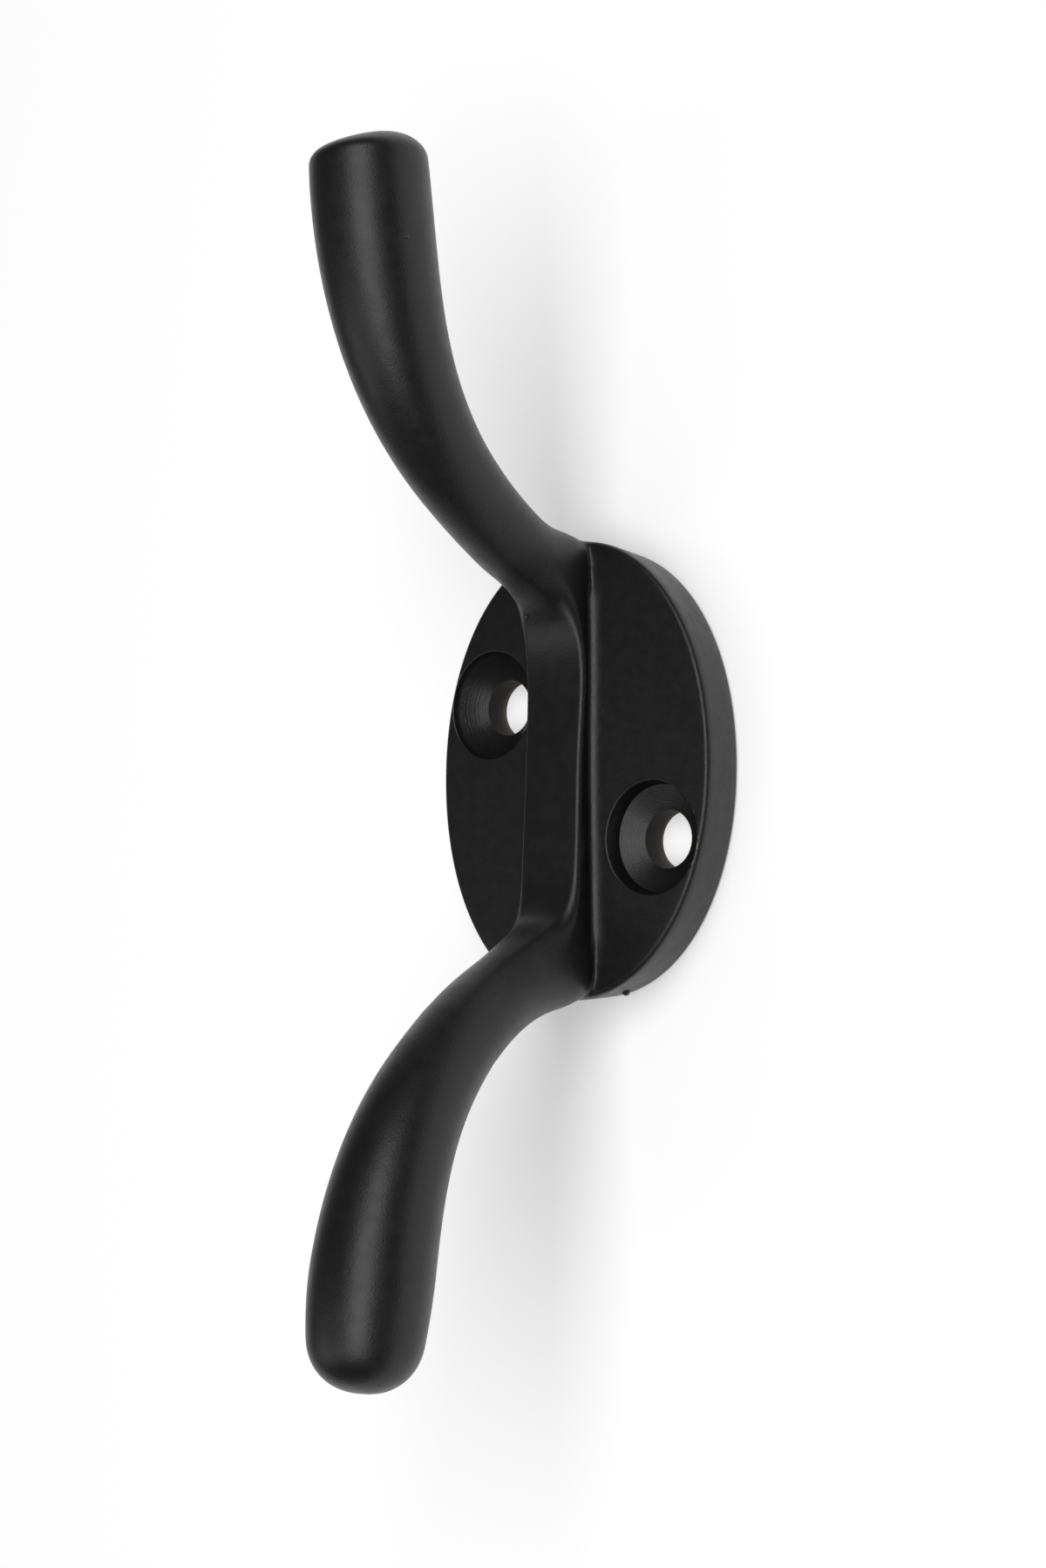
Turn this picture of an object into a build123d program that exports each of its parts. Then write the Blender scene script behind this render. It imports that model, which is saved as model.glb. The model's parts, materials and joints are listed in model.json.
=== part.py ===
"""Cleat hook: an oval wall plate with a low rib and two horns, cast in one piece.

The back face lies on Y = 0 with the origin at its centre, the hook projects to -Y,
and +Z runs up along the hook. Sizes are in millimetres.
"""
import os
from math import copysign, cos, radians, sin

from build123d import *

# Wall plate
plate_width = 27.5
plate_height = 36.0
plate_thickness = 4.4
plate_crown = 0.25
plate_draft = 0.4
plate_fullness = 2.07
outline_points = 36
front_edge_radius = 0.4
back_edge_radius = 0.3

# Rib across the plate, a little left of its middle and prouder at its lower end
bar_offset = -0.45
rib_width = 6.1
rib_waist = 0.2
rib_rise_at_top = 1.15
rib_rise_at_bottom = 1.9
rib_sink = 2.9
rib_edge_radius = 0.45
rib_crown = 2.0
rib_stations = 4
upper_rib_drop = 6.7
lower_rib_drop = 6.2
foot_radius = 0.3

# Turns from the rib into the horns: each station's lean, and where its front and back lie,
# with the front's drop measured from the horn's root towards the middle
turn_leans = (11.0, 33.0, 58.0, 64.0)
turn_edge_radii = (0.5, 0.8, 1.6, 2.6)
turn_crowns = (2.0, 3.0, 6.0, 15.0)
upper_turn_widths = (6.1, 6.0, 5.8, 5.8)
upper_turn_rises = (1.35, 1.95, 2.8, 5.05)
upper_turn_drops = (4.7, 3.0, 1.9, 0.55)
upper_turn_depths = (4.2, 5.2, 6.9, 5.8)
lower_turn_widths = (6.1, 6.2, 6.4, 6.4)
lower_turn_rises = (1.9, 2.25, 2.95, 5.5)
lower_turn_drops = (4.9, 3.0, 2.0, 1.05)
lower_turn_depths = (4.6, 5.4, 7.0, 6.5)

# Horn centre line in the side view: its ends, and the pull of the curve at each end
root_inset = 3.8
root_rise = 0.13
root_pull_out = 16.0
root_pull_up = 7.25
tip_distance = 26.48
tip_height = 46.1
tip_pull_out = 1.37
tip_pull_up = 18.3

# Horn sections
round_crown = 22.5
roundness = 0.98
neck_radius = 2.97
neck_place = 0.17
bulb_radius = 4.36
bulb_place = 0.85
horn_stations = 6

# Horn ends: each narrows a little and closes in a low dome, and the lower one is longer
upper_reach = 0.995
upper_taper = 0.25
upper_taper_length = 5.0
upper_dome = 3.0
lower_reach = 0.998
lower_taper = 0.8
lower_taper_length = 9.0
lower_dome = 3.8
dome_fullness = 2.2
dome_sweep = 87.0
dome_stations = 7

# Screw holes, one at the upper left and one at the lower right
hole_offset = 8.24
hole_height = 5.78
bore_diameter = 4.5
bore_length = 2.1
seat_diameter = 9.0
shoulder_diameter = 8.3
upper_shoulder_depth = 0.75
lower_shoulder_depth = 1.35
seat_overrun = 1.0

# Places that follow from those sizes
root_height = plate_height / 2 - root_inset
root_distance = plate_thickness + root_rise
rib_top = root_height - upper_rib_drop
rib_bottom = lower_rib_drop - root_height


def side_point(out, up):
    """A point of the side view: out from the wall and up from the middle."""
    return (-out, up)


def ease(share):
    """Smooth step from 0 to 1."""
    return share * share * (3 - 2 * share)


def fuller(value):
    """Push a sine or cosine outwards, for an oval a little fuller than an ellipse."""
    return copysign(abs(value) ** (2 / plate_fullness), value)


def plate_outline(out, inset):
    """The plate's oval at a distance out from the wall, drawn in by the inset."""
    angles = [radians(360 * point / outline_points) for point in range(outline_points)]
    across = plate_width / 2 - inset
    up = plate_height / 2 - inset
    with BuildSketch(Plane.XZ.offset(out)) as outline:
        with BuildLine():
            Spline([(across * fuller(cos(a)), up * fuller(sin(a))) for a in angles], periodic=True)
        make_face()
    return outline.sketch


# Centre line of the upper horn, drawn in the side view
with BuildLine(Plane.YZ) as horn_line:
    Bezier(
        side_point(root_distance, root_height),
        side_point(root_distance + root_pull_out, root_height + root_pull_up),
        side_point(tip_distance - tip_pull_out, tip_height - tip_pull_up),
        side_point(tip_distance, tip_height),
    )
centre_line = horn_line.edge()
horn_length = centre_line.length


def horn_frame(place, upper):
    """Section plane at a share of the horn's length, always facing up the hook."""
    point = centre_line @ place
    along = centre_line % place
    if upper:
        return Plane(origin=(bar_offset, point.Y, point.Z), x_dir=(1, 0, 0), z_dir=along)
    return Plane(origin=(bar_offset, point.Y, -point.Z), x_dir=(1, 0, 0), z_dir=(0, -along.Y, along.Z))


def barrel_section(frame, width, depth, edge_radius, crown_angle):
    """Section of eight tangent arcs: four crowned sides and four rounded edges.

    The crown angle is half the sweep of a side, so small angles give flat sides,
    and an edge radius of half the width and depth gives a circle.
    """
    rise = 1 - cos(radians(crown_angle))
    reach = sin(radians(crown_angle))
    spare_width = width / 2 - edge_radius
    spare_depth = depth / 2 - edge_radius
    scale = reach**2 - rise**2
    flank_radius = (spare_depth * reach - spare_width * rise) / scale + edge_radius
    front_radius = (spare_width * reach - spare_depth * rise) / scale + edge_radius
    edge_x = (front_radius - edge_radius) * reach
    edge_y = (flank_radius - edge_radius) * reach
    flank_x = width / 2 - flank_radius
    front_y = depth / 2 - front_radius
    edge_sweep = 90 - 2 * crown_angle
    with BuildSketch(frame) as section:
        with BuildLine():
            CenterArc((flank_x, 0), flank_radius, -crown_angle, 2 * crown_angle)
            CenterArc((edge_x, edge_y), edge_radius, crown_angle, edge_sweep)
            CenterArc((0, front_y), front_radius, 90 - crown_angle, 2 * crown_angle)
            CenterArc((-edge_x, edge_y), edge_radius, 90 + crown_angle, edge_sweep)
            CenterArc((-flank_x, 0), flank_radius, 180 - crown_angle, 2 * crown_angle)
            CenterArc((-edge_x, -edge_y), edge_radius, 180 + crown_angle, edge_sweep)
            CenterArc((0, -front_y), front_radius, 270 - crown_angle, 2 * crown_angle)
            CenterArc((edge_x, -edge_y), edge_radius, 270 + crown_angle, edge_sweep)
        make_face()
    return section.sketch


def round_section(place, radius, upper):
    """A round section of the horn, made of eight arcs like the rest of the bar."""
    frame = horn_frame(place, upper)
    return barrel_section(frame, 2 * radius, 2 * radius, roundness * radius, round_crown)


def horn_sections(upper, reach, taper, taper_length, dome):
    """Sections from the neck outwards: a round horn and a domed end."""
    sections = []
    dome_place = reach - dome / horn_length
    places = [neck_place + (dome_place - neck_place) * step / horn_stations for step in range(horn_stations)]
    closings = [1.0] * horn_stations
    for station in range(dome_stations):
        angle = radians(dome_sweep * station / (dome_stations - 1))
        places.append(dome_place + (reach - dome_place) * sin(angle) ** (2 / dome_fullness))
        closings.append(cos(angle) ** (2 / dome_fullness))
    for place, closing in zip(places, closings):
        swell = ease(min(1, (place - neck_place) / (bulb_place - neck_place)))
        narrowing = max(0, 1 - (reach - place) * horn_length / taper_length)
        radius = neck_radius + (bulb_radius - neck_radius) * swell - taper * narrowing**2
        sections.append(round_section(place, radius * closing, upper))
    return sections


def rib_section(share):
    """Section of the rib at a share of its height, seated inside the plate."""
    rise = rib_rise_at_bottom + (rib_rise_at_top - rib_rise_at_bottom) * share
    width = rib_width - rib_waist * 4 * share * (1 - share)
    middle_out = plate_thickness + (rise - rib_sink) / 2
    middle_up = rib_bottom + (rib_top - rib_bottom) * share
    frame = Plane(origin=(bar_offset, -middle_out, middle_up), x_dir=(1, 0, 0), z_dir=(0, 0, 1))
    return barrel_section(frame, width, rise + rib_sink, rib_edge_radius, rib_crown)


def turn_sections(side, widths, rises, drops, depths):
    """Sections that lean more and more, from the end of the rib to the start of a horn."""
    sections = []
    for place, angle in enumerate(turn_leans):
        lean = radians(angle)
        middle_out = plate_thickness + rises[place] - depths[place] / 2 * cos(lean)
        middle_up = side * (root_height - drops[place] + depths[place] / 2 * sin(lean))
        frame = Plane(
            origin=(bar_offset, -middle_out, middle_up),
            x_dir=(1, 0, 0),
            z_dir=(0, -side * sin(lean), cos(lean)),
        )
        sections.append(
            barrel_section(frame, widths[place], depths[place], turn_edge_radii[place], turn_crowns[place])
        )
    return sections


# Rib and both horns as one loft from the lower bulb to the upper bulb
rib_sections = [rib_section(step / (rib_stations - 1)) for step in range(rib_stations)]
lower_turn = turn_sections(-1, lower_turn_widths, lower_turn_rises, lower_turn_drops, lower_turn_depths)
upper_turn = turn_sections(1, upper_turn_widths, upper_turn_rises, upper_turn_drops, upper_turn_depths)
lower_horn = horn_sections(False, lower_reach, lower_taper, lower_taper_length, lower_dome)
upper_horn = horn_sections(True, upper_reach, upper_taper, upper_taper_length, upper_dome)
lower_sections = lower_horn[::-1] + lower_turn[::-1]
upper_sections = upper_turn + upper_horn
with BuildPart() as bar:
    loft(sections=lower_sections + rib_sections + upper_sections)

# Plate with its crowned front and softened edges
plate_edge_height = plate_thickness - plate_crown
with BuildPart() as plate:
    loft(sections=[plate_outline(0, plate_draft), plate_outline(plate_thickness, 0)], ruled=True)
    with BuildSketch(Plane.XY):
        with BuildLine():
            crown = ThreePointArc(
                (-plate_width / 2, -plate_edge_height),
                (0, -plate_thickness),
                (plate_width / 2, -plate_edge_height),
            )
            Polyline(crown @ 1, (plate_width / 2, 0), (-plate_width / 2, 0), crown @ 0)
        make_face()
    extrude(amount=plate_height / 2, both=True, mode=Mode.INTERSECT)
    fillet(plate.faces().sort_by(Axis.Y)[0].edges(), front_edge_radius)
    fillet(plate.faces().sort_by(Axis.Y)[-1].edges(), back_edge_radius)


def screw_seat(side, shoulder_depth):
    """Tool for one screw hole: a straight bore, a countersink and a steep recess wall."""
    centre = (side * hole_offset, 0, -side * hole_height)
    with BuildPart() as tool:
        with BuildSketch(Plane(origin=centre, x_dir=(1, 0, 0), z_dir=(0, 0, 1))):
            with BuildLine():
                Polyline(
                    (0, seat_overrun),
                    (bore_diameter / 2, seat_overrun),
                    (bore_diameter / 2, -bore_length),
                    (shoulder_diameter / 2, shoulder_depth - plate_thickness),
                    (seat_diameter / 2, -plate_thickness),
                    (0, -plate_thickness),
                    close=True,
                )
            make_face()
        revolve(axis=Axis(centre, (0, 1, 0)))
    return tool.part


# The whole casting: bar fused to the plate, a fillet round its foot, and the screw holes
with BuildPart() as cleat_hook:
    add(plate.part)
    add(bar.part)
    fillet(cleat_hook.edges(Select.NEW), foot_radius)
    add(screw_seat(-1, upper_shoulder_depth), mode=Mode.SUBTRACT)
    add(screw_seat(1, lower_shoulder_depth), mode=Mode.SUBTRACT)

cleat_hook.part.label = "cleat_hook"
os.makedirs("parts", exist_ok=True)
export_step(cleat_hook.part, "parts/cleat_hook.step")
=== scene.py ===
"""Looks of the cleat hook: a matt black powder coat over a casting, lying on a white surface.

The casting is made again as a fine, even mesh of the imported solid's form, so that highlights
run smoothly along the horns and the edges have the softness of the coat. The casting's named
sizes are in millimetres and its angles in degrees. The camera, the wall and the lights are in metres.
"""
import json
from math import copysign, cos, exp, radians, sin, tau

import bmesh
import bpy
import numpy as np
from mathutils import Matrix, Vector
from mathutils.kdtree import KDTree


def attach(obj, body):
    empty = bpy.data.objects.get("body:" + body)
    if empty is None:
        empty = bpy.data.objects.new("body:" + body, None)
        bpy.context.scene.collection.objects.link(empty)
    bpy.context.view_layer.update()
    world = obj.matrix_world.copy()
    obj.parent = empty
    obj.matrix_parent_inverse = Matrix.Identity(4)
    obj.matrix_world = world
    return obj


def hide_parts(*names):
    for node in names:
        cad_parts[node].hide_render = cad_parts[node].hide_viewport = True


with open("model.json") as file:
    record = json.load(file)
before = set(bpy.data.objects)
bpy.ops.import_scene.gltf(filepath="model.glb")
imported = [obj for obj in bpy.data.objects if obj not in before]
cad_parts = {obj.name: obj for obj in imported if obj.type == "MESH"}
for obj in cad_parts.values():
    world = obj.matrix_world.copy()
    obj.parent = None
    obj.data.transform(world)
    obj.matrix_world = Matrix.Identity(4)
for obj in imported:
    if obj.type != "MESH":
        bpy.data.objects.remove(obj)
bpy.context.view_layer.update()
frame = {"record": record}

MM = 0.001

# The photograph's frame and the view fitted to the plate, the holes and the horns
image_width = 1200
image_height = 1799
focal_pixels = 2960.7
view_azimuth = 41.87
view_elevation = -5.47
view_roll = -0.12
aim_point = Vector((0, -2.06, 0)) * MM
aim_depth = 204.5 * MM
aim_pixel = (673.7, 885.1)
sensor_height = 36.0
near_clip = 0.01

# Plate: its oval, crowned face and softened edges
plate_width = 27.5
plate_height = 36.4
plate_thickness = 4.4
plate_crown = 0.25
plate_draft = 0.4
plate_fullness = 2.07
front_edge_radius = 0.4
back_edge_radius = 0.3

# Rib: its section, and how far its ends lie from the roots of the horns
bar_offset = -0.45
rib_width = 6.1
rib_waist = 0.2
rib_rise_at_top = 1.15
rib_rise_at_bottom = 1.9
rib_sink = 2.9
rib_edge_radius = 0.45
rib_crown = 2.0
upper_rib_drop = 6.7
lower_rib_drop = 6.2

# Turns between the rib and the horns: four leaning stations each, and the length that eases them
turn_leans = (11.0, 33.0, 58.0, 64.0)
turn_edge_radii = (0.5, 0.8, 1.6, 2.6)
turn_crowns = (2.0, 3.0, 6.0, 15.0)
upper_turn = {
    "widths": (6.1, 6.0, 5.8, 5.8),
    "rises": (1.35, 1.95, 2.8, 5.05),
    "drops": (4.7, 3.0, 1.9, 0.55),
    "depths": (4.2, 5.2, 6.8, 5.8),
}
lower_turn = {
    "widths": (6.1, 6.2, 6.4, 6.4),
    "rises": (1.9, 2.25, 2.95, 5.5),
    "drops": (4.9, 3.0, 2.0, 1.05),
    "depths": (4.6, 5.4, 6.9, 6.5),
}
upper_turn_ease = 0.8
lower_turn_ease = 1.4

# Horns: their curved centre line as distance from the wall and height, and their round section
root_inset = 4.0
root_rise = 0.13
root_pull = (16.0, 7.25)
tip = (26.4, 46.1)
tip_pull = (1.37, 18.3)
round_crown = 22.5
roundness = 0.98
neck_radius = 2.97
neck_place = 0.17
bulb_radius = 4.41
bulb_place = 0.85
root_height = plate_height / 2 - root_inset
root_distance = plate_thickness + root_rise

# Knuckle on the lower neck; its place and length are shares of the horn
knuckle_place = 0.25
knuckle_length = 0.1
knuckle_swell = 0.05
knuckle_shift = 0.3

# Ends of the horns; reach is a share of the horn, and broaden says from where, to where and how much
upper_end = {
    "reach": 0.99,
    "taper": 0.2,
    "taper_length": 5.0,
    "dome": 2.2,
    "fullness": 2.1,
    "slant": 11.0,
    "broaden": (0.5, 0.9, 0.03),
}
lower_end = {
    "reach": 0.997,
    "taper": 0.8,
    "taper_length": 9.0,
    "dome": 3.8,
    "fullness": 2.4,
    "slant": 2.0,
    "broaden": (0.1, 0.3, 0.06),
}

# Screw seats: the bores come from the record's mounts
seat_radius = 4.5
shoulder_radius = 4.15
upper_shoulder_depth = 0.75
lower_shoulder_depth = 1.35
seat_lip = 0.16
lip_sweep = 78
cutter_overshoot = 0.5

# Foot of the bar: a fillet beside the rib, and from root_start to root_end a relaxed skin instead
crease_angle = 15.0
foot_width = 1.15
foot_height = 0.55
root_reach = 2.4
root_start = 13.0
root_end = 15.5
root_passes = 60
root_pace = 0.6

# Beads of coat: one at the plate's rim, then smaller ones on the rib and the horns, with their radii.
# The coat paints a pale highlight speck around each smaller one.
nibs = (
    ((3.32, -1.44, -17.4), 0.36),
    ((-2.03, -6.95, 12.0), 0.16),
    ((3.81, -26.44, 36.97), 0.18),
    ((2.06, -27.17, -45.08), 0.12),
)

# Fineness of the mesh
line_steps = 600
arc_steps = 12
horn_steps = 90
dome_steps = 16
dome_sweep = 88
rib_knots = 4
neck_knots = (0, 9, 19, 29)
span_steps = 12
eased_rings = 20
plate_steps = 240
face_steps = 12
edge_steps = 6
wall_shares = (0.75, 0.5, 0.25)
seat_steps = 144
lip_steps = 6
crease_steps = 4
foot_margin = 1.3
foot_edges = (0.4, 0.25, 0.15)
sharp_angle = 32

# Coat: grain of the powder and its colours
coat_colors = ((0.0035, 0.0035, 0.0037, 1), (0.0055, 0.0054, 0.0054, 1))
bore_colors = ((0.002, 0.0014, 0.001, 1), (0.009, 0.0055, 0.003, 1))
worn_color = (0.06, 0.042, 0.027, 1)
bare_color = (0.2, 0.15, 0.1, 1)
# Pale grey of the painted highlight specks around the smaller beads
bead_highlight_color = (0.07, 0.07, 0.068, 1)
coat_roughness = (0.36, 0.42)
bore_roughness = 0.75
coat_specular = 0.45
grain_size = 0.17
swell_size = 1.1
mottle_size = 3.5
mark_size = 0.11
chip_size = 0.45
bump_height = 0.03
grain_share = 0.5
swell_share = 0.35
mark_share = 0.35

# Where marks on the coat begin and end: distances from a hole's axis and heights above the wall
bore_edge = (2.28, 2.36)
worn_height = (0.6, 0.95)
cone_foot = (2.3, 2.5)
cone_top = (4.0, 4.2)
rim_inside = (4.2, 4.32)
rim_outside = (4.42, 4.52)
rim_height = (3.6, 3.9)

# The same as shares: sideways on the rim, of the noises, and of a nib's radius
rim_right = (0.7, 0.9)
chip_range = (0.5, 0.58)
swell_range = (0.3, 0.7)
# Reach of a painted highlight speck, as shares of its bead's radius
bead_highlight_reach = (0.6, 1.1)

# White surface and studio light: brighter to the camera and in reflections than as light on the object
wall_half = 1.5
wall_gap = 0.05 * MM
wall_color = (0.95, 0.95, 0.95, 1)
wall_roughness = 0.8
wall_specular = 0.1
wall_lift = 0.22
touching_length = 1 * MM
white = (1, 1, 1, 1)
world_light = 0.12
world_seen = 0.9


def add_object(name, data):
    """A new object in the scene."""
    made = bpy.data.objects.new(name, data)
    bpy.context.collection.objects.link(made)
    return made


def add_camera():
    """Camera at the photograph's viewing angle, with the aim point at its pixel."""
    azimuth = radians(view_azimuth)
    elevation = radians(view_elevation)
    back = Vector((sin(azimuth) * cos(elevation), -cos(azimuth) * cos(elevation), sin(elevation)))
    level_right = Vector((cos(azimuth), sin(azimuth), 0))
    level_up = back.cross(level_right)
    roll = radians(view_roll)
    right = cos(roll) * level_right + sin(roll) * level_up
    up = cos(roll) * level_up - sin(roll) * level_right
    aside = (aim_pixel[0] - image_width / 2) / focal_pixels * aim_depth
    above = (image_height / 2 - aim_pixel[1]) / focal_pixels * aim_depth
    place = aim_point + back * aim_depth - right * aside - up * above
    data = bpy.data.cameras.new("camera")
    data.sensor_fit = "VERTICAL"
    data.sensor_height = sensor_height
    data.lens = sensor_height * focal_pixels / image_height
    data.clip_start = near_clip
    camera = add_object("camera", data)
    turn = Matrix((right, up, back)).transposed().to_4x4()
    camera.matrix_world = Matrix.Translation(place) @ turn
    bpy.context.scene.camera = camera


add_camera()


def ease(share):
    """Smooth step from 0 to 1, flat before and after."""
    share = min(1, max(0, share))
    return share * share * (3 - 2 * share)


def fuller(value, fullness):
    """Push a sine or cosine outwards, for a curve a little fuller than an ellipse."""
    return copysign(abs(value) ** (2 / fullness), value)


def barrel_outline(width, depth, edge_radius, crown_angle):
    """Points of a section of eight tangent arcs: four crowned sides and four rounded edges."""
    rise = 1 - cos(radians(crown_angle))
    reach = sin(radians(crown_angle))
    spare_width = width / 2 - edge_radius
    spare_depth = depth / 2 - edge_radius
    scale = reach**2 - rise**2
    flank_radius = (spare_depth * reach - spare_width * rise) / scale + edge_radius
    front_radius = (spare_width * reach - spare_depth * rise) / scale + edge_radius
    edge_x = (front_radius - edge_radius) * reach
    edge_y = (flank_radius - edge_radius) * reach
    flank_x = width / 2 - flank_radius
    front_y = depth / 2 - front_radius
    side = 2 * crown_angle
    edge = 90 - side
    arcs = [
        (flank_x, 0, flank_radius, side),
        (edge_x, edge_y, edge_radius, edge),
        (0, front_y, front_radius, side),
        (-edge_x, edge_y, edge_radius, edge),
        (-flank_x, 0, flank_radius, side),
        (-edge_x, -edge_y, edge_radius, edge),
        (0, -front_y, front_radius, side),
        (edge_x, -edge_y, edge_radius, edge),
    ]
    points = []
    start = -crown_angle
    for x, y, radius, sweep in arcs:
        for step in range(arc_steps):
            angle = radians(start + sweep * step / arc_steps)
            points.append((x + radius * cos(angle), y + radius * sin(angle)))
        start += sweep
    return points


# Centre line of the upper horn in the side view, with its length along it
line_shares = np.linspace(0, 1, line_steps)[:, None]
root = np.array((root_distance, root_height))
pulls = (root, root + root_pull, np.subtract(tip, tip_pull), np.array(tip))
weights = (
    (1 - line_shares) ** 3,
    3 * line_shares * (1 - line_shares) ** 2,
    3 * line_shares**2 * (1 - line_shares),
    line_shares**3,
)
horn_line = sum(weight * pull for weight, pull in zip(weights, pulls))
line_runs = np.linalg.norm(np.diff(horn_line, axis=0), axis=1)
line_lengths = np.concatenate(([0], np.cumsum(line_runs)))
line_leans = np.arctan2(*np.gradient(horn_line, axis=0).T)
horn_length = line_lengths[-1]


def horn_station(place, closing, end, side):
    """A round station of a horn at a share of its length: centre, lean and the section's sizes."""
    length = place * horn_length
    out = np.interp(length, line_lengths, horn_line[:, 0])
    up = np.interp(length, line_lengths, horn_line[:, 1])
    lean = np.interp(length, line_lengths, line_leans)
    swell = ease((place - neck_place) / (bulb_place - neck_place))
    narrowing = max(0, 1 - (end["reach"] - place) * horn_length / end["taper_length"])
    radius = neck_radius + (bulb_radius - neck_radius) * swell - end["taper"] * narrowing**2
    if side < 0:
        knuckle = exp(-((place - knuckle_place) / knuckle_length) ** 2)
        radius += knuckle_swell * knuckle
        out += knuckle_shift * knuckle * cos(lean)
        up -= knuckle_shift * knuckle * sin(lean)
    radius *= closing
    start, stop, most = end["broaden"]
    breadth = 1 + most * ease((place - start) / (stop - start))
    edge_radius = roundness * radius * (1 + breadth) / 2
    return (out, side * up, side * lean, 2 * radius * breadth, 2 * radius, edge_radius, round_crown)


def horn_stations(end, side):
    """Stations from the neck outwards: a round horn and a domed, slanted end."""
    dome_place = end["reach"] - end["dome"] / horn_length
    stations = []
    for step in range(horn_steps):
        place = neck_place + (dome_place - neck_place) * step / horn_steps
        stations.append(horn_station(place, 1, end, side))
    for step in range(dome_steps + 1):
        angle = radians(dome_sweep * step / dome_steps)
        place = dome_place + (end["reach"] - dome_place) * sin(angle) ** (2 / end["fullness"])
        closing = cos(angle) ** (2 / end["fullness"])
        out, up, lean, *sizes = horn_station(place, closing, end, side)
        lean += side * radians(end["slant"]) * ease(step / dome_steps)
        stations.append((out, up, lean, *sizes))
    return stations


def rib_station(share):
    """A station of the rib at a share of its height, seated inside the plate."""
    rise = rib_rise_at_bottom + (rib_rise_at_top - rib_rise_at_bottom) * share
    width = rib_width - rib_waist * 4 * share * (1 - share)
    bottom = lower_rib_drop - root_height
    top = root_height - upper_rib_drop
    out = plate_thickness + (rise - rib_sink) / 2
    up = bottom + (top - bottom) * share
    return (out, up, 0, width, rise + rib_sink, rib_edge_radius, rib_crown)


def turn_stations(side, turn):
    """Stations that lean more and more, from the end of the rib to the start of a horn."""
    sizes = zip(turn["widths"], turn["depths"], turn_edge_radii, turn_crowns)
    stations = []
    for angle, rise, drop, section in zip(turn_leans, turn["rises"], turn["drops"], sizes):
        lean = radians(angle)
        half = section[1] / 2
        out = plate_thickness + rise - half * cos(lean)
        up = side * (root_height - drop + half * sin(lean))
        stations.append((out, up, side * lean) + section)
    return stations


def smooth_stations(knots):
    """Stations on natural cubic curves through the knots, without the last knot."""
    knots = np.array(knots)
    runs = np.linalg.norm(np.diff(knots[:, :2], axis=0), axis=1)[:, None]
    slopes = np.diff(knots, axis=0) / runs
    system = np.eye(len(knots))
    target = np.zeros_like(knots)
    for row in range(1, len(knots) - 1):
        system[row, row - 1] = runs[row - 1, 0]
        system[row, row] = 2 * (runs[row - 1, 0] + runs[row, 0])
        system[row, row + 1] = runs[row, 0]
        target[row] = 6 * (slopes[row] - slopes[row - 1])
    bends = np.linalg.solve(system, target)
    stations = []
    for row in range(len(runs)):
        for step in range(span_steps):
            share = step / span_steps
            rest = 1 - share
            straight = rest * knots[row] + share * knots[row + 1]
            bent = (rest**3 - rest) * bends[row] + (share**3 - share) * bends[row + 1]
            stations.append(straight + bent * runs[row] ** 2 / 6)
    return stations


def ring_mesh(name, rings, first, last):
    """A closed skin over equal rings of points, with a pole at each end; in millimetres."""
    count = len(rings[0])
    points = [first] + [point for ring in rings for point in ring] + [last]
    faces = []
    for step in range(count):
        after = (step + 1) % count
        faces.append((0, 1 + step, 1 + after))
        for ring in range(len(rings) - 1):
            near = 1 + ring * count
            far = near + count
            faces.append((near + step, far + step, far + after, near + after))
        end = 1 + (len(rings) - 1) * count
        faces.append((end + step, len(points) - 1, end + after))
    mesh = bpy.data.meshes.new(name)
    mesh.from_pydata([Vector(point) * MM for point in points], [], faces)
    work = bmesh.new()
    work.from_mesh(mesh)
    bmesh.ops.recalc_face_normals(work, faces=work.faces)
    work.to_mesh(mesh)
    work.free()
    return add_object(name, mesh)


def ease_lines(rings):
    """Round the turns along the bar, by the same length on every line of points."""
    lines = np.array(rings)
    for index in range(lines.shape[1]):
        runs = np.linalg.norm(np.diff(lines[:, index], axis=0), axis=1)
        system = np.eye(len(rings))
        for row in range(1, len(rings) - 1):
            near, far = runs[row - 1], runs[row]
            turn_ease = upper_turn_ease if lines[row, index, 2] > 0 else lower_turn_ease
            pull = 2 * turn_ease**2 / (near + far)
            system[row, row - 1] -= pull / near
            system[row, row] += pull / near + pull / far
            system[row, row + 1] -= pull / far
        lines[:, index] = np.linalg.solve(system, lines[:, index])
    return [list(map(tuple, ring)) for ring in lines]


def make_bar():
    """Rib and both horns as one skin from the lower end to the upper end."""
    lower = horn_stations(lower_end, -1)
    upper = horn_stations(upper_end, 1)
    knots = [lower[index] for index in reversed(neck_knots)]
    knots += reversed(turn_stations(-1, lower_turn))
    knots += [rib_station(step / (rib_knots - 1)) for step in range(rib_knots)]
    knots += turn_stations(1, upper_turn)
    knots += [upper[index] for index in neck_knots]
    in_horns = (len(neck_knots) - 1) * span_steps
    middle = smooth_stations(knots)[in_horns:-in_horns]
    stations = lower[:0:-1] + middle + upper
    rings = []
    for out, up, lean, width, depth, edge_radius, crown in stations:
        outline = barrel_outline(width, depth, edge_radius, crown)
        rings.append([(bar_offset + x, -out - y * cos(lean), up - y * sin(lean)) for x, y in outline])
    start = len(lower) - 1 - eased_rings
    stop = len(lower) + len(middle) + eased_rings
    rings[start:stop] = ease_lines(rings[start:stop])
    return ring_mesh("bar", rings, np.mean(rings[0], axis=0), np.mean(rings[-1], axis=0))


def face_height(across):
    """Height of the plate's crowned face above the wall."""
    return plate_thickness - plate_crown * (2 * across / plate_width) ** 2


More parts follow.
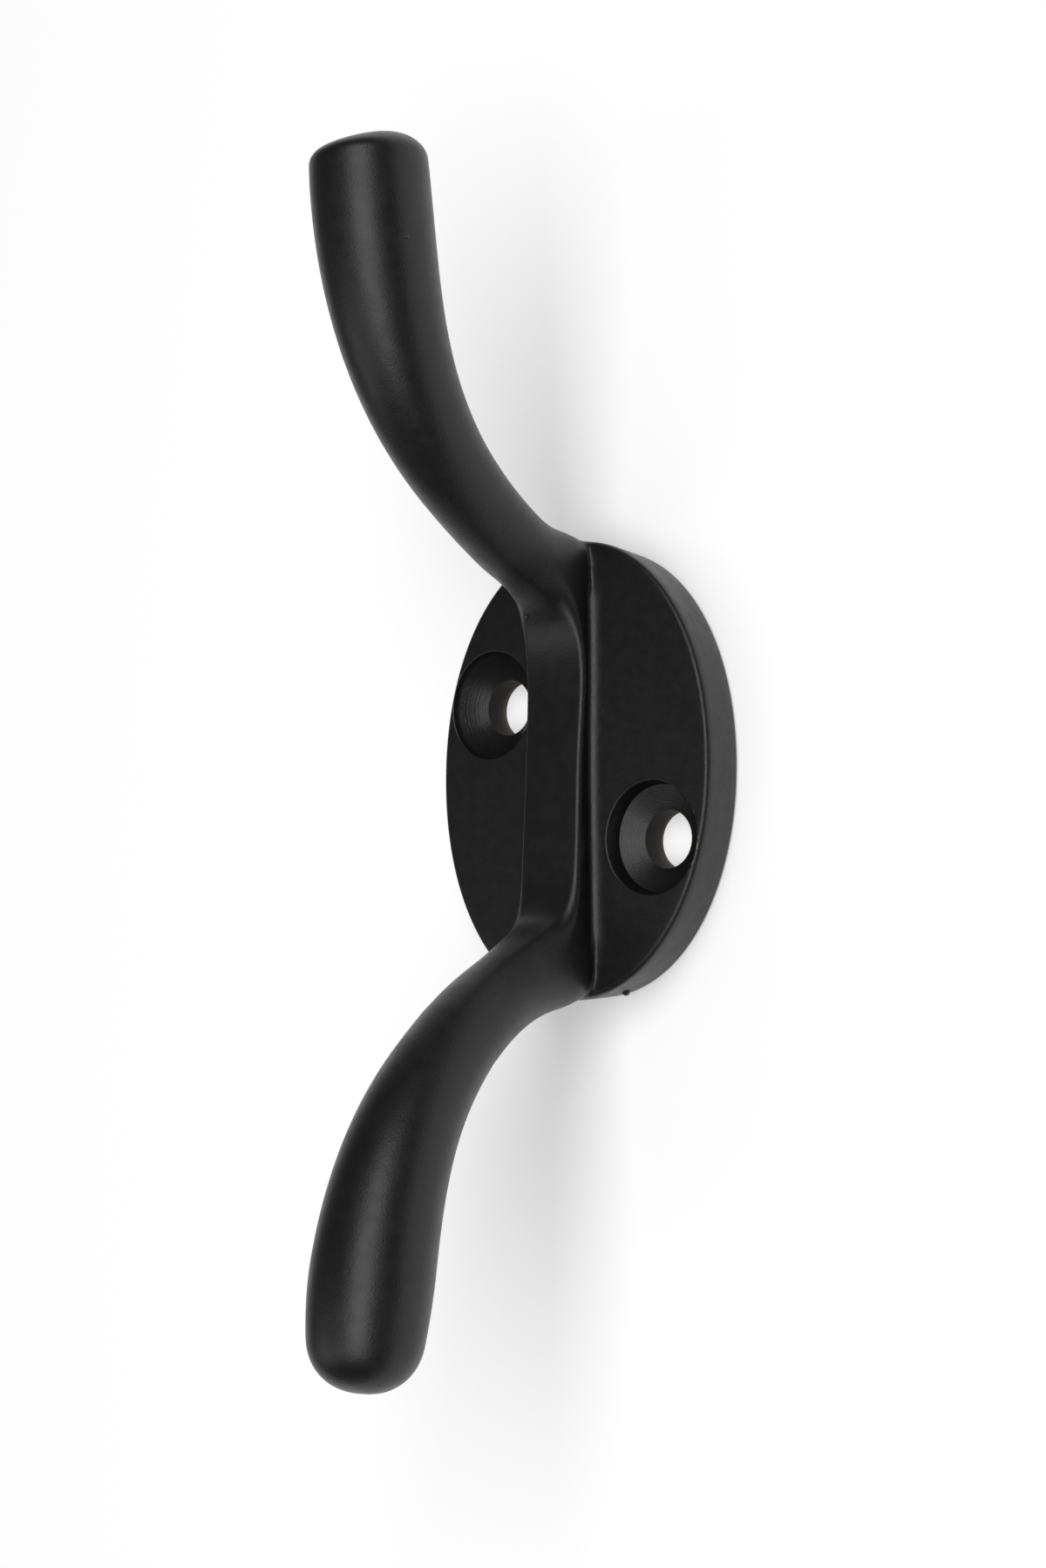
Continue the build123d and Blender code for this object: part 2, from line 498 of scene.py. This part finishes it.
def plate_ring(inset, shrink, height, follow):
    """One ring of the plate: its oval drawn in and shrunk, at a height or as far below the face."""
    ring = []
    for step in range(plate_steps):
        angle = tau * step / plate_steps
        x = shrink * (plate_width / 2 - inset) * fuller(cos(angle), plate_fullness)
        z = shrink * (plate_height / 2 - inset) * fuller(sin(angle), plate_fullness)
        y = face_height(x) - height if follow else height
        ring.append((x, -y, z))
    return ring


def make_plate():
    """Oval plate with a crowned face, softened edges and a slightly drafted side wall."""
    edge_inset = plate_draft * (plate_crown + front_edge_radius) / plate_thickness
    face_inset = edge_inset + front_edge_radius
    foot_inset = plate_draft * (1 - back_edge_radius / plate_thickness)
    turns = [radians(90 * step / edge_steps) for step in range(edge_steps + 1)]
    rings = [plate_ring(face_inset, step / face_steps, 0, True) for step in range(1, face_steps)]
    for turn in turns:
        inset = face_inset - front_edge_radius * sin(turn)
        rings.append(plate_ring(inset, 1, front_edge_radius * (1 - cos(turn)), True))
    for share in wall_shares:
        rings.append(plate_ring(plate_draft * (1 - share), 1, plate_thickness * share, False))
    for turn in turns:
        inset = foot_inset + back_edge_radius * (1 - cos(turn))
        rings.append(plate_ring(inset, 1, back_edge_radius * (1 - sin(turn)), False))
    for step in range(face_steps - 1, 0, -1):
        rings.append(plate_ring(plate_draft + back_edge_radius, step / face_steps, 0, False))
    return ring_mesh("plate", rings, (0, -plate_thickness, 0), (0, 0, 0))


def combine(piece, other, operation):
    """Join or cut one piece by another, and drop the other."""
    step = piece.modifiers.new("combine", "BOOLEAN")
    step.operation = operation
    step.solver = "EXACT"
    step.object = other
    ready = piece.evaluated_get(bpy.context.evaluated_depsgraph_get())
    old = piece.data
    piece.data = bpy.data.meshes.new_from_object(ready)
    piece.modifiers.clear()
    bpy.data.meshes.remove(old)
    bpy.data.objects.remove(other)


def foot_move(beside, above):
    """Move of a point near the crease onto an elliptical fillet, from its place beside and above."""
    if beside > above:
        turn = radians(45 * (1 - beside / foot_width))
        return foot_width * (1 - sin(turn)) - beside, foot_height * (1 - cos(turn))
    turn = radians(45 * (1 + above / foot_height))
    return foot_width * (1 - sin(turn)), foot_height * (1 - cos(turn)) - above


def soften_foot(piece):
    """Round the crease of bar and plate: a fillet beside the rib, a relaxed skin at the roots."""
    work = bmesh.new()
    work.from_mesh(piece.data)
    places = []
    outs = []
    for edge in work.edges:
        if len(edge.link_faces) == 2 and edge.calc_face_angle_signed() < -radians(crease_angle):
            flank = max((face.normal for face in edge.link_faces), key=lambda normal: normal.y)
            out = Vector((flank.x, 0, flank.z)).normalized()
            for step in range(crease_steps + 1):
                places.append(edge.verts[0].co.lerp(edge.verts[1].co, step / crease_steps))
                outs.append(out)
    tree = KDTree(len(places))
    for index, place in enumerate(places):
        tree.insert(place, index)
    tree.balance()

    def root_share(v):
        return ease((abs(v.co.z) / MM - root_start) / (root_end - root_start))

    def near_crease():
        found = {v: tree.find(v.co) for v in work.verts}
        reaches = {v: foot_width + (root_reach - foot_width) * root_share(v) for v in found}
        return {v: near for v, near in found.items() if near[2] < foot_margin * reaches[v] * MM}

    for longest in foot_edges:
        near = near_crease()
        faces = dict.fromkeys(face for v in near for face in v.link_faces)
        bmesh.ops.triangulate(work, faces=list(faces))
        inner = [edge for edge in work.edges if edge.verts[0] in near and edge.verts[1] in near]
        long_edges = [edge for edge in inner if edge.calc_length() > longest * MM]
        bmesh.ops.subdivide_edges(work, edges=long_edges, cuts=1)
        bmesh.ops.triangulate(work, faces=[face for face in work.faces if len(face.verts) > 4])

    near = near_crease()
    for v, (place, index, _) in near.items():
        beside = (v.co - place).dot(outs[index]) / MM
        above = (place.y - v.co.y) / MM
        if beside < foot_width and above < foot_height:
            outwards, upwards = foot_move(beside, above)
            keep = (1 - root_share(v)) * MM
            v.co += keep * outwards * outs[index] - Vector((0, keep * upwards, 0))

    holds = {}
    for v, (_, _, gap) in near.items():
        hold = root_share(v) * ease(1 - gap / (root_reach * MM))
        if hold > 0:
            holds[v] = hold
    for step in range(root_passes):
        means = {}
        for v in holds:
            total = sum((edge.other_vert(v).co for edge in v.link_edges), Vector())
            means[v] = total / len(v.link_edges)
        for v, mean in means.items():
            v.co += (mean - v.co) * root_pace * holds[v]
    work.to_mesh(piece.data)
    work.free()


def make_nibs():
    """Small beads of coat that stand on the surface."""
    work = bmesh.new()
    for place, radius in nibs:
        move = Matrix.Translation(Vector(place) * MM)
        bmesh.ops.create_icosphere(work, subdivisions=2, radius=radius * MM, matrix=move)
    mesh = bpy.data.meshes.new("nibs")
    work.to_mesh(mesh)
    work.free()
    return add_object("nibs", mesh)


def seat_cutter(mount, shoulder_depth):
    """Cutter for one screw hole: bore, countersink, recess wall and a softened lip."""
    across, _, up = Vector(mount["pos_m"]) / MM
    bore_radius = mount["dims"]["r_mm"]
    bore_length = mount["dims"]["length_mm"]
    angles = [tau * step / seat_steps for step in range(seat_steps)]

    def circle(radius):
        return [(across + radius * cos(angle), up + radius * sin(angle)) for angle in angles]

    profile = [
        (bore_radius, -cutter_overshoot),
        (bore_radius, bore_length),
        (shoulder_radius, plate_thickness - shoulder_depth),
    ]
    rings = [[(x, -height, z) for x, z in circle(radius)] for radius, height in profile]
    for step in range(lip_steps + 1):
        turn = radians(lip_sweep * step / lip_steps)
        radius = seat_radius - seat_lip + seat_lip * (1 - cos(turn))
        drop = seat_lip * (1 - sin(turn))
        rings.append([(x, drop - face_height(x), z) for x, z in circle(radius)])
    top = -plate_thickness - cutter_overshoot
    rings.append([(x, top, z) for x, z in circle(seat_radius)])
    return ring_mesh("seat_cutter", rings, (across, cutter_overshoot, up), (across, top, up))


hook = make_plate()
hook.name = "hook_casting"
combine(hook, make_bar(), "UNION")
soften_foot(hook)
mounts = {mount["name"]: mount for mount in frame["record"]["mounts"]}
combine(hook, seat_cutter(mounts["upper_screw_hole"], upper_shoulder_depth), "DIFFERENCE")
combine(hook, seat_cutter(mounts["lower_screw_hole"], lower_shoulder_depth), "DIFFERENCE")
combine(hook, make_nibs(), "UNION")
hook.data.shade_smooth()
hook.data.set_sharp_from_angle(angle=radians(sharp_angle))


class Finish:
    """A new material, with short ways to add nodes to it."""

    def __init__(self, name):
        self.material = bpy.data.materials.new(name)
        self.material.use_nodes = True
        self.nodes = self.material.node_tree.nodes
        self.link = self.material.node_tree.links.new
        self.shader = self.nodes["Principled BSDF"]

    def feed(self, socket, value):
        """Link a socket to another one, or set it to a plain value."""
        if isinstance(value, bpy.types.NodeSocket):
            self.link(value, socket)
        else:
            socket.default_value = value

    def maths(self, operation, first, second):
        """A sum, product or the like of two values."""
        node = self.nodes.new("ShaderNodeMath")
        node.operation = operation
        self.feed(node.inputs[0], first)
        self.feed(node.inputs[1], second)
        return node.outputs[0]

    def remap(self, value, span, start, end):
        """A value that eases from start to end over a span."""
        node = self.nodes.new("ShaderNodeMapRange")
        node.interpolation_type = "SMOOTHSTEP"
        names = ("Value", "From Min", "From Max", "To Min", "To Max")
        for name, given in zip(names, (value, *span, start, end)):
            self.feed(node.inputs[name], given)
        return node.outputs["Result"]

    def noise(self, place, size, detail):
        """Noise in space with a size in millimetres."""
        node = self.nodes.new("ShaderNodeTexNoise")
        node.inputs["Scale"].default_value = 1 / (size * MM)
        node.inputs["Detail"].default_value = detail
        self.link(place, node.inputs["Vector"])
        return node.outputs["Fac"]

    def bands(self, value, size):
        """Noise along one value in millimetres."""
        node = self.nodes.new("ShaderNodeTexNoise")
        node.noise_dimensions = "1D"
        node.inputs["Scale"].default_value = 1 / size
        node.inputs["Detail"].default_value = 1
        self.link(value, node.inputs["W"])
        return node.outputs["Fac"]

    def blend(self, share, first, second):
        """A colour between two; the node's colour sockets come after those for other kinds."""
        node = self.nodes.new("ShaderNodeMix")
        node.data_type = "RGBA"
        self.feed(node.inputs["Factor"], share)
        self.feed(node.inputs[6], first)
        self.feed(node.inputs[7], second)
        return node.outputs[2]

    def distance(self, start, point):
        """Distance in millimetres from a point in metres."""
        node = self.nodes.new("ShaderNodeVectorMath")
        node.operation = "DISTANCE"
        self.link(start, node.inputs[0])
        node.inputs[1].default_value = point
        return self.maths("DIVIDE", node.outputs["Value"], MM)


def make_coat():
    """Matt black powder coat, thin and brown in the bores, turned in the cones, chipped at one rim,
    with painted highlight specks around the small beads.
    """
    coat = Finish("black_coat")
    place = coat.nodes.new("ShaderNodeTexCoord").outputs["Object"]
    parts = coat.nodes.new("ShaderNodeSeparateXYZ")
    coat.link(place, parts.inputs[0])
    height = coat.maths("MULTIPLY", parts.outputs["Y"], -1 / MM)
    flat = coat.nodes.new("ShaderNodeCombineXYZ")
    coat.link(parts.outputs["X"], flat.inputs["X"])
    coat.link(parts.outputs["Z"], flat.inputs["Z"])

    # Distance from the axis of each hole, and of the nearer one
    spans = []
    for name in ("upper_screw_hole", "lower_screw_hole"):
        across, _, up = mounts[name]["pos_m"]
        spans.append(coat.distance(flat.outputs[0], (across, 0, up)))
    radius = coat.maths("MINIMUM", spans[0], spans[1])

    grain = coat.noise(place, grain_size, 2)
    swell = coat.noise(place, swell_size, 1)
    mottle = coat.noise(place, mottle_size, 3)

    # Turned marks in the cones: bands that change only with the distance from the hole's axis
    above_foot = coat.remap(radius, cone_foot, 0, 1)
    in_cone = coat.maths("MULTIPLY", above_foot, coat.remap(radius, cone_top, 1, 0))
    marks = coat.maths("MULTIPLY", coat.bands(radius, mark_size), in_cone)

    # Thin brown coat in the bores, worn to a bare edge at the back
    in_bore = coat.remap(radius, bore_edge, 1, 0)
    worn = coat.remap(coat.maths("ADD", height, mottle), worn_height, 1, 0)
    at_back = coat.maths("MULTIPLY", in_bore, worn)
    bore = coat.blend(mottle, bore_colors[0], bore_colors[1])

    # Chips along the right rim of the lower seat
    middle = mounts["lower_screw_hole"]["pos_m"][0] / MM
    sideways = coat.maths("SUBTRACT", coat.maths("DIVIDE", parts.outputs["X"], MM), middle)
    beside = coat.remap(coat.maths("DIVIDE", sideways, spans[1]), rim_right, 0, 1)
    inside = coat.remap(spans[1], rim_inside, 0, 1)
    outside = coat.remap(spans[1], rim_outside, 1, 0)
    chipped = coat.remap(coat.noise(place, chip_size, 3), chip_range, 0, 1)
    for share in (inside, outside, beside, coat.remap(height, rim_height, 0, 1)):
        chipped = coat.maths("MULTIPLY", chipped, share)

    color = coat.blend(mottle, coat_colors[0], coat_colors[1])
    color = coat.blend(in_bore, color, bore)
    color = coat.blend(at_back, color, worn_color)
    color = coat.blend(chipped, color, bare_color)
    # Painted highlight: pale grey specks around the smaller beads, fading outwards
    for point, size in nibs[1:]:
        reach = [share * size for share in bead_highlight_reach]
        bead_highlight = coat.remap(coat.distance(place, Vector(point) * MM), reach, 1, 0)
        color = coat.blend(bead_highlight, color, bead_highlight_color)
    coat.link(color, coat.shader.inputs["Base Color"])
    gloss = coat.remap(swell, swell_range, coat_roughness[0], coat_roughness[1])
    coat.link(coat.remap(in_bore, (0, 1), gloss, bore_roughness), coat.shader.inputs["Roughness"])
    coat.shader.inputs["Specular IOR Level"].default_value = coat_specular

    relief = coat.nodes.new("ShaderNodeBump")
    relief.inputs["Distance"].default_value = bump_height * MM
    uneven = coat.maths("MULTIPLY", grain, grain_share)
    uneven = coat.maths("ADD", uneven, coat.maths("MULTIPLY", swell, swell_share))
    uneven = coat.maths("ADD", uneven, coat.maths("MULTIPLY", marks, mark_share))
    coat.link(uneven, relief.inputs["Height"])
    coat.link(relief.outputs["Normal"], coat.shader.inputs["Normal"])
    return coat.material


hook.data.materials.clear()
hook.data.materials.append(make_coat())
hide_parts("cleat_hook")
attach(hook, "root")


def make_paper():
    """White on the front; clear from behind and to light that starts on it, so that the back is lit."""
    paper = Finish("white_paper")
    front = paper.shader
    front.inputs["Base Color"].default_value = wall_color
    front.inputs["Roughness"].default_value = wall_roughness
    front.inputs["Specular IOR Level"].default_value = wall_specular
    front.inputs["Emission Color"].default_value = white
    ray = paper.nodes.new("ShaderNodeLightPath").outputs
    seen = paper.maths("MAXIMUM", ray["Is Camera Ray"], ray["Is Glossy Ray"])
    seen = paper.maths("MAXIMUM", seen, ray["Is Transmission Ray"])
    paper.link(paper.maths("MULTIPLY", seen, wall_lift), front.inputs["Emission Strength"])
    touching = paper.maths("LESS_THAN", ray["Ray Length"], touching_length)
    touching = paper.maths("MULTIPLY", touching, ray["Is Shadow Ray"])
    behind = paper.nodes.new("ShaderNodeNewGeometry").outputs["Backfacing"]
    clear = paper.nodes.new("ShaderNodeBsdfTransparent")
    choose = paper.nodes.new("ShaderNodeMixShader")
    paper.link(paper.maths("MAXIMUM", touching, behind), choose.inputs["Fac"])
    paper.link(front.outputs["BSDF"], choose.inputs[1])
    paper.link(clear.outputs["BSDF"], choose.inputs[2])
    paper.link(choose.outputs["Shader"], paper.nodes["Material Output"].inputs["Surface"])
    return paper.material


def add_wall():
    """The white surface that the plate lies on."""
    mesh = bpy.data.meshes.new("wall")
    half = wall_half
    corners = [(-half, 0, -half), (half, 0, -half), (half, 0, half), (-half, 0, half)]
    mesh.from_pydata(corners, [], [(0, 1, 2, 3)])
    mesh.materials.append(make_paper())
    wall = add_object("wall", mesh)
    wall.location.y = wall_gap


add_wall()


def add_area_light(name, place, width, height, power):
    """A soft box at a place in metres, facing the middle of the plate."""
    data = bpy.data.lights.new(name, "AREA")
    data.shape = "RECTANGLE"
    data.size = width
    data.size_y = height
    data.energy = power
    light = add_object(name, data)
    light.location = place
    light.rotation_euler = (-Vector(place)).to_track_quat("-Z", "Y").to_euler()


add_area_light("soft_box", (0.29, -0.74, 0.06), 0.55, 1.2, 6.0)
add_area_light("back_light", (0.1, 0.6, 0.25), 0.6, 0.6, 2.5)
add_area_light("low_fill", (-0.393, -0.629, -0.3), 0.9, 0.4, 1.1)


def add_world():
    """An even dim room, which the camera sees as nearly white."""
    world = bpy.data.worlds.new("studio")
    world.use_nodes = True
    nodes = world.node_tree.nodes
    links = world.node_tree.links
    sky = nodes["Background"]
    sky.inputs["Color"].default_value = white
    level = nodes.new("ShaderNodeMapRange")
    level.inputs["To Min"].default_value = world_light
    level.inputs["To Max"].default_value = world_seen
    links.new(nodes.new("ShaderNodeLightPath").outputs["Is Camera Ray"], level.inputs["Value"])
    links.new(level.outputs["Result"], sky.inputs["Strength"])
    bpy.context.scene.world = world


add_world()
bpy.context.scene.view_settings.view_transform = "Standard"
